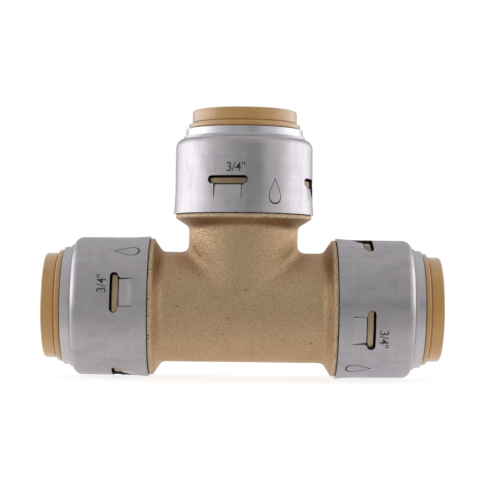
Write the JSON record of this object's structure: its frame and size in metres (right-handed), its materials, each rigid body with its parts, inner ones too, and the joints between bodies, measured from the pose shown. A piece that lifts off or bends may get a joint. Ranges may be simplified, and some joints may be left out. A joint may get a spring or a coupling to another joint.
{
  "type": "push fit tee coupling",
  "caption": "Push-fit pipe tee: forged brass body, and at each end a latched steel shell with release collar, grab ring, O-ring and pipe liner.",
  "frame": {"origin": "where the run axis and the branch axis cross, at the middle of the tee body", "axes": "+X along the run towards the right socket, +Z along the branch and out of its socket, +Y away from the viewer"},
  "size_m": [0.0974, 0.0348, 0.0661],
  "materials": {
    "forged_brass": "grit-blasted forging, darker in the fillets, with turned ends",
    "shell_steel": "drawn stainless, satin, brightest on the shoulder and neck",
    "collar_plastic": "tan acetal, smooth, slight sheen",
    "grab_ring_steel": "spring stainless, bright",
    "o_ring_rubber": "lubricated black rubber",
    "retainer_plastic": "dark grey acetal",
    "support_plastic": "natural acetal",
    "liner_plastic": "off-white plastic"
  },
  "bodies": {
    "tee": {"tee_body": "forged_brass", "left_shell": "shell_steel", "left_o_ring": "o_ring_rubber", "left_o_ring_retainer": "retainer_plastic", "left_support_ring": "support_plastic", "right_shell": "shell_steel", "right_o_ring": "o_ring_rubber", "right_o_ring_retainer": "retainer_plastic", "right_support_ring": "support_plastic", "branch_shell": "shell_steel", "branch_o_ring": "o_ring_rubber", "branch_o_ring_retainer": "retainer_plastic", "branch_support_ring": "support_plastic"},
    "left_ring": {"left_grab_ring": "grab_ring_steel"},
    "left_collar": {"left_release_collar": "collar_plastic"},
    "left_liner": {"left_pipe_liner": "liner_plastic"},
    "right_ring": {"right_grab_ring": "grab_ring_steel"},
    "right_collar": {"right_release_collar": "collar_plastic"},
    "right_liner": {"right_pipe_liner": "liner_plastic"},
    "branch_ring": {"branch_grab_ring": "grab_ring_steel"},
    "branch_collar": {"branch_release_collar": "collar_plastic"},
    "branch_liner": {"branch_pipe_liner": "liner_plastic"}
  },
  "joints": [
    {"name": "left_ring_spin", "type": "hinge", "parent": "tee", "child": "left_ring", "pos_m": [-0.0341, 0, 0], "axis": [-1, 0, 0], "continuous": true},
    {"name": "left_collar_press", "type": "slide", "parent": "left_ring", "child": "left_collar", "axis": [1, 0, 0], "range_m": [0, 0.0025], "stiffness_N_per_m": 3000, "deforming": ["left_grab_ring"]},
    {"name": "left_liner_pull", "type": "slide", "parent": "tee", "child": "left_liner", "axis": [-1, 0, 0], "range_m": [0, 0.03]},
    {"name": "right_ring_spin", "type": "hinge", "parent": "tee", "child": "right_ring", "pos_m": [0.0341, 0, 0], "axis": [1, 0, 0], "continuous": true},
    {"name": "right_collar_press", "type": "slide", "parent": "right_ring", "child": "right_collar", "axis": [-1, 0, 0], "range_m": [0, 0.0025], "stiffness_N_per_m": 3000, "deforming": ["right_grab_ring"]},
    {"name": "right_liner_pull", "type": "slide", "parent": "tee", "child": "right_liner", "axis": [1, 0, 0], "range_m": [0, 0.03]},
    {"name": "branch_ring_spin", "type": "hinge", "parent": "tee", "child": "branch_ring", "pos_m": [0, 0, 0.0341], "axis": [0, 0, 1], "continuous": true},
    {"name": "branch_collar_press", "type": "slide", "parent": "branch_ring", "child": "branch_collar", "axis": [0, 0, -1], "range_m": [0, 0.0025], "stiffness_N_per_m": 3000, "deforming": ["branch_grab_ring"]},
    {"name": "branch_liner_pull", "type": "slide", "parent": "tee", "child": "branch_liner", "axis": [0, 0, 1], "range_m": [0, 0.03]}
  ]
}
